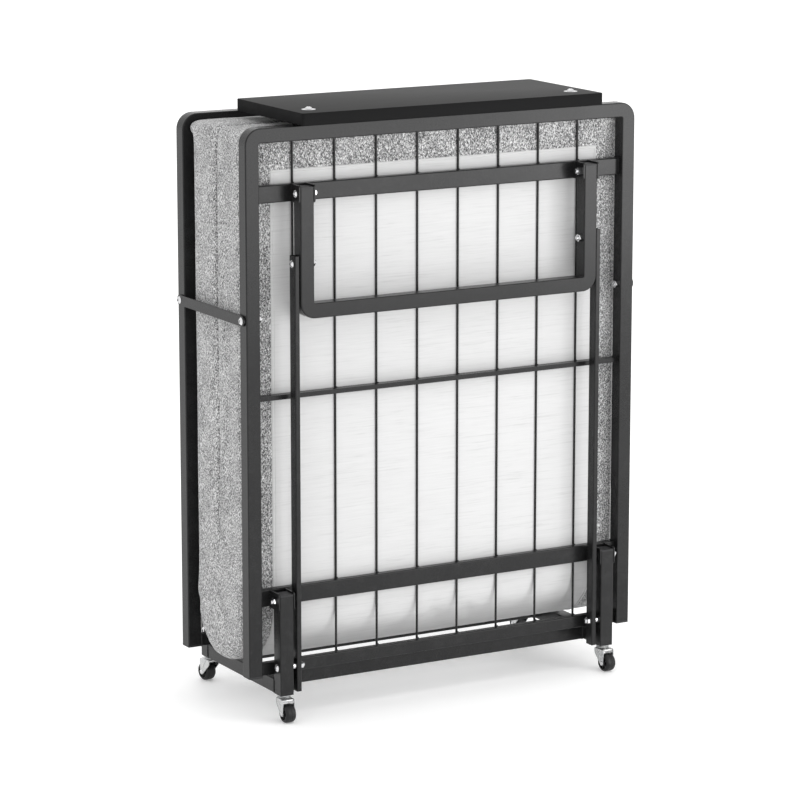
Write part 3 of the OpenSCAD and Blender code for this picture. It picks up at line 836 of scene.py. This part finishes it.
def mattress_start():
    """The doubled mattress as one closed body, a little small, with a slit between its halves."""
    d, top, bottom, w = DEPTH - SWELL, TOP - SWELL, BOTTOM + SWELL, HALF_W - SWELL
    slit, beyond, waist = 5.5 * MM, 300 * MM, 500 * MM
    # the outer edge starts flared outward, and settled() presses it flat against the section
    outer = corner_points((beyond, top), (d, top), (d, waist), 36 * MM)
    inner = corner_points((slit, waist), (slit, top), (beyond, top), 17 * MM)
    right = [Vector((slit, SPLIT_Z + 4 * MM))] + inner + outer
    left = [Vector((-p.x, p.y)) for p in reversed(right)]
    outline = left + right + u_curve(d, bottom, U_RISE - SWELL, 26)[1:-1]
    n = len(outline)
    verts = [(x, p.x, p.y) for x in (-w, w) for p in outline]
    faces = [[i, (i + 1) % n, n + (i + 1) % n, n + i] for i in range(n)]
    faces += [list(range(n))[::-1], [n + i for i in range(n)]]
    me = bpy.data.meshes.new("mattress_start")
    me.from_pydata(verts, [], faces)
    bm = bmesh.new()
    bm.from_mesh(me)
    bmesh.ops.triangulate(bm, faces=[f for f in bm.faces if len(f.verts) > 4])
    bmesh.ops.recalc_face_normals(bm, faces=bm.faces)
    bm.to_mesh(me)
    bm.free()
    o = bpy.data.objects.new("mattress_start", me)
    bpy.context.scene.collection.objects.link(o)
    return o


def evaluated(o):
    """A mesh copy of o with its modifiers applied."""
    bpy.context.view_layer.update()
    return bpy.data.meshes.new_from_object(o.evaluated_get(bpy.context.evaluated_depsgraph_get()))


def soft_limit(v, limit, k):
    """v, eased over the length k so that it never passes limit."""
    return v if v < limit - k else limit - k * math.exp(-(v - limit + k) / k)


def clamp(v):
    return max(0.0, min(1.0, v))


def bulge(x):
    """0 at a wire and 1 half way between two wires."""
    t = (x - WIRE_X[0]) / (WIRE_X[1] - WIRE_X[0])
    return math.sin(math.pi * (t - math.floor(t))) ** 2 if -0.5 < t < WIRES - 0.5 else 1.0


def remesh(o):
    """Gives o an even mesh with softened edges, and returns its places and normals."""
    m = o.modifiers.new("Remesh", "REMESH")
    m.mode = "VOXEL"
    m.voxel_size = VOXEL
    me = evaluated(o)
    o.modifiers.clear()
    bm = bmesh.new()
    bm.from_mesh(me)
    for _ in range(5):
        bmesh.ops.smooth_vert(
            bm, verts=bm.verts, factor=0.5, use_axis_x=True, use_axis_y=True, use_axis_z=True
        )
    bm.normal_update()
    places = [v.co.copy() for v in bm.verts]
    normals = [v.normal.copy() for v in bm.verts]
    bm.to_mesh(me)
    bm.free()
    o.data = me
    return places, normals


def puffed(o):
    """The places of o's vertices after the cover has been blown up by cloth pressure."""
    c = o.modifiers.new("Cloth", "CLOTH")
    st = c.settings
    st.quality = 4
    st.mass = 0.4
    st.tension_stiffness = st.compression_stiffness = 18
    st.shear_stiffness = 8
    st.bending_stiffness = 2
    st.use_pressure = True
    st.uniform_pressure_force = 4
    st.shrink_min = -0.03
    st.effector_weights.gravity = 0
    c.point_cache.frame_start, c.point_cache.frame_end = 1, FRAMES
    for f in range(1, FRAMES + 1):
        bpy.context.scene.frame_set(f)
    places = [v.co.copy() for v in evaluated(o).vertices]
    bpy.context.scene.frame_set(1)
    o.modifiers.clear()
    return places


def settled(p, q, n):
    """Where a vertex ends that started at p with the normal n and that the cloth moved to q."""
    # the cover is taut over the foam: it swells outward and hardly draws in
    step = q - p
    out = step.dot(n)
    slide = step - n * out
    if slide.length > MAX_SLIDE:
        slide *= MAX_SLIDE / slide.length
    q = p + slide + n * (max(-MAX_DRAW_IN, min(out, MAX_PUFF)) * 0.5 + SWELL)
    # the outer faces lie against the wires and swell a little between them
    sy = 1 if p.y > 0 else -1
    y = abs(q.y) if q.y * sy > 0 else 0.0
    y = soft_limit(y, FACE_Y + WIRE_BULGE * bulge(q.x), 3 * MM)
    # the slit stays open, and the turn below it keeps to its side of the middle plane
    if p.z > SPLIT_Z and abs(p.y) < 14 * MM:
        y = max(y, 0.5 * MM)
    elif p.z < SPLIT_Z - 10 * MM and abs(p.y) < 5 * MM:
        y = abs(p.y)
    x = math.copysign(soft_limit(abs(q.x), HALF_W, 4 * MM), q.x)
    z = max(soft_limit(q.z, TOP, 4 * MM), BOTTOM + 1 * MM)
    # the sides are never quite flat
    if abs(q.x) > HALF_W - 12 * MM:
        x += noise.noise(Vector((q.x * 5, q.y * 9, q.z * 5))) * SIDE_DRIFT
    return x, sy * y, z


def mattress_body():
    """The mesh of the whole doubled mattress."""
    o = mattress_start()
    start, normals = remesh(o)
    moved = puffed(o)
    for i, (p, q, n) in enumerate(zip(start, moved, normals)):
        o.data.vertices[i].co = settled(p, q, n)
    sub = o.modifiers.new("Subsurf", "SUBSURF")
    sub.levels = sub.render_levels = 1
    fine = evaluated(o)
    bpy.data.objects.remove(o)
    return fine


def bisect(bm, y, normal, clear):
    geom = bm.verts[:] + bm.edges[:] + bm.faces[:]
    bmesh.ops.bisect_plane(bm, geom=geom, dist=1e-6, plane_co=(0, y, 0), plane_no=normal, clear_inner=clear)


def cut_half(whole, sy):
    """The front (sy -1) or rear half of the body, closed at the mid-plane."""
    bm = bmesh.new()
    bm.from_mesh(whole)
    bisect(bm, sy * 0.25 * MM, (0, sy, 0), True)
    made = bmesh.ops.holes_fill(bm, edges=[e for e in bm.edges if e.is_boundary], sides=0)
    bmesh.ops.triangulate(bm, faces=made["faces"])
    for cut in (1.5 * MM, 3 * MM, 5 * MM, 8 * MM):
        bisect(bm, sy * cut, (0, 1, 0), False)
    # where the two halves meet, their rounded edges leave a groove
    for v in bm.verts:
        x, z = abs(v.co.x), v.co.z
        if z < SPLIT_Z:
            continue
        dip = GROOVE * min(1, (z - SPLIT_Z) / (70 * MM)) * math.exp(-abs(v.co.y) / (3.2 * MM))
        v.co.x = math.copysign(x - dip * clamp(1 - (HALF_W - x) / GROOVE_REACH), v.co.x)
        v.co.z = z - dip * clamp(1 - (TOP - z) / GROOVE_REACH)
    bmesh.ops.recalc_face_normals(bm, faces=bm.faces)
    me = bpy.data.meshes.new("half")
    bm.to_mesh(me)
    bm.free()
    return me


# ---------------------------------------------------------------- white panels
PANEL_X = 321 * MM
PANEL_TOP = 938 * MM
TURN = 4 * MM
CELL = 5.5 * MM
# distances from the panel's edge, and how far the cloth stands off the mattress there: hem and seam
HEM = [m * MM for m in (0, 1.2, 2.4, 4.6, 5.4, 6.2, 8)]
HEM_LIFT = [m * MM for m in (-0.6, 0.9, 1.5, 1.4, 0.5, 1.1)]


def panel_path():
    """Places (y, z) and outward directions down the outer face and round to the middle."""
    path = []
    z = PANEL_TOP
    while z > BOTTOM + U_RISE + 3 * MM:
        path.append((Vector((DEPTH, z)), Vector((1, 0))))
        z -= 6 * MM
    curve = [p for p in u_curve(DEPTH, BOTTOM, U_RISE, 60) if p.x >= -1e-9]
    for p, q in zip(curve, curve[1:]):
        d = (q - p).normalized()
        path.append((p, Vector((-d.y, d.x))))
    path.append((Vector((3 * MM, BOTTOM)), Vector((0, -1))))
    return path


def walk(path, length, s):
    """The place and direction at the length s along a path."""
    for k in range(len(length) - 1):
        if length[k + 1] >= s - 1e-9:
            t = (s - length[k]) / max(1e-9, length[k + 1] - length[k])
            return path[k][0].lerp(path[k + 1][0], t), path[k][1].lerp(path[k + 1][1], t).normalized()
    return path[-1]


def narrowed(x, s):
    """x, kept inside the panel's rounded top corners at the distance s from its top edge."""
    if s >= TURN:
        return x
    room = PANEL_X - TURN + math.sqrt(max(0.0, TURN**2 - (TURN - s) ** 2))
    return max(-room, min(room, x))


def underside_panel(tree, sy, section):
    """The white cloth sewn over the outer face and round the underside of one half."""
    path = panel_path()
    length = [0.0]
    for a, b in zip(path, path[1:]):
        length.append(length[-1] + (b[0] - a[0]).length)
    total, hem = length[-1], HEM[-1]
    rows, cols = int(total / CELL), int(2 * PANEL_X / CELL)
    us = [-PANEL_X + m for m in HEM]
    us += [-PANEL_X + hem + (2 * PANEL_X - 2 * hem) * i / cols for i in range(1, cols)]
    us += [PANEL_X - m for m in reversed(HEM)]
    ss = HEM + [hem + (total - hem) * i / rows for i in range(1, rows + 1)]
    w = len(us)
    verts = []
    for j, s in enumerate(ss):
        p, n = walk(path, length, s)
        out = Vector((0, n.x * sy, n.y))
        for i, u in enumerate(us):
            base = Vector((narrowed(u, s), p.x * sy, p.y))
            hit = tree.ray_cast(base + out * 40 * MM, -out, 90 * MM)[0]
            edge = min(i, w - 1 - i, j, len(HEM_LIFT) - 1)
            verts.append((base if hit is None else hit) + out * HEM_LIFT[edge])
    cells = [(j * w + i, (j + 1) * w + i) for j in range(len(ss) - 1) for i in range(w - 1)]
    name = f"white_panel_{section}"
    me = bpy.data.meshes.new(name)
    me.from_pydata(verts, [], [(a, a + 1, b + 1, b) for a, b in cells])
    bm = bmesh.new()
    bm.from_mesh(me)
    bmesh.ops.remove_doubles(bm, verts=bm.verts, dist=0.05 * MM)
    bmesh.ops.recalc_face_normals(bm, faces=bm.faces)
    middle = [f for f in bm.faces if abs(f.calc_center_median().x) < 100 * MM]
    if sum(f.normal.y * sy for f in middle) < 0:
        bmesh.ops.reverse_faces(bm, faces=bm.faces)
    bm.to_mesh(me)
    bm.free()
    me.materials.append(M["white"])
    o = place(name, me, 50, f"{section}_section")


whole = mattress_body()
for section, sy in SECTIONS:
    me = cut_half(whole, sy)
    me.materials.clear()
    me.materials.append(M["grey"])
    nodes = ["mattress_front", "mattress_fold"] if section == "front" else ["mattress_rear"]
    half = place(f"mattress_{section}_half", me, 50, f"{section}_section", nodes)
    bm = bmesh.new()
    bm.from_mesh(me)
    tree = BVHTree.FromBMesh(bm)
    bm.free()
    underside_panel(tree, sy, section)

# ---------------------------------------------------------------- carried-over CAD nodes
BY_SLOT = {
    "black_steel": "black",
    "chrome": "chrome",
    "zinc": "zinc",
    "wheel_plastic": "wheel",
    "black_plastic": "plug",
    "grey_fabric": "grey",
    "board_black": "board",
}
EASED = ["post_caps", "latch_left", "latch_right"]
for section, _ in SECTIONS:
    EASED += [f"{section}_{part}" for part in ("rail_plugs", "leg_caps", "middle_bar", "brackets")]

for sub in frame["record"]["subparts"]:
    o = frame["nodes"][sub["node"]]
    o.data.materials.clear()
    o.data.materials.append(M[BY_SLOT[sub["material_slot"]]])
for name in EASED:
    b = frame["nodes"][name].modifiers.new("Ease", "BEVEL")
    b.width = 0.5 * MM
    b.segments = 2
    b.limit_method = "ANGLE"
    b.angle_limit = math.radians(40)

# ---------------------------------------------------------------- stage
FLOOR_HALF = 30.0
SKY = 1.14
LENS = 161.3
CAMERA_AT = (-3.0356, -5.3343, 1.7683)
CAMERA_DOWN = 11.688
CAMERA_TURN = 29.512

scene = bpy.context.scene
scene.view_settings.view_transform = "Standard"
scene.view_settings.look = "None"

me = bpy.data.meshes.new("floor")
floor_corners = [(x * FLOOR_HALF, y * FLOOR_HALF, 0) for x, y in ((-1, -1), (1, -1), (1, 1), (-1, 1))]
me.from_pydata(floor_corners, [], [(0, 1, 2, 3)])
floor = bpy.data.objects.new("floor", me)
scene.collection.objects.link(floor)
k = Nodes("floor_white")
k.colour(k.ramp(k.noise(0.8, 3, 0.5), [(0.3, 0.96), (0.7, 0.97)]))
k.put(Roughness=0.55, Specular_IOR_Level=0.3, Emission_Color=(1, 1, 1, 1), Emission_Strength=0.16)
me.materials.append(k.m)

world = bpy.data.worlds.new("studio")
scene.world = world
world.use_nodes = True
sky = next(n for n in world.node_tree.nodes if n.type == "BACKGROUND")
sky.inputs["Color"].default_value = (1, 1, 1, 1)
sky.inputs["Strength"].default_value = SKY


def softbox(name, at, target, size, watts):
    """A soft rectangular light at a place, aimed at a target."""
    d = bpy.data.lights.new(name, "AREA")
    d.shape = "RECTANGLE"
    d.size, d.size_y = size
    d.energy = watts
    o = bpy.data.objects.new(name, d)
    o.location = at
    o.rotation_euler = (Vector(target) - Vector(at)).to_track_quat("-Z", "Y").to_euler()
    scene.collection.objects.link(o)


# lights in the mirror direction of the front faces, weaker to the left and near the floor
softbox("key_right", (1.6, -2.0, 0.85), (1.1, 0, 0.8), (0.6, 0.95), 12)
softbox("key_left", (0.7, -2.1, 0.85), (0.4, 0, 0.8), (0.9, 0.95), 9)
softbox("key_low", (1.1, -2.05, 0.2), (0.7, 0, 0.3), (1.6, 0.3), 0.8)

cam = bpy.data.cameras.new("camera")
cam.sensor_width = 36
cam.lens = LENS
cam.clip_end = 200
camera = bpy.data.objects.new("camera", cam)
camera.location = CAMERA_AT
camera.rotation_euler = (math.radians(90 - CAMERA_DOWN), 0, math.radians(-CAMERA_TURN))
scene.collection.objects.link(camera)
scene.camera = camera
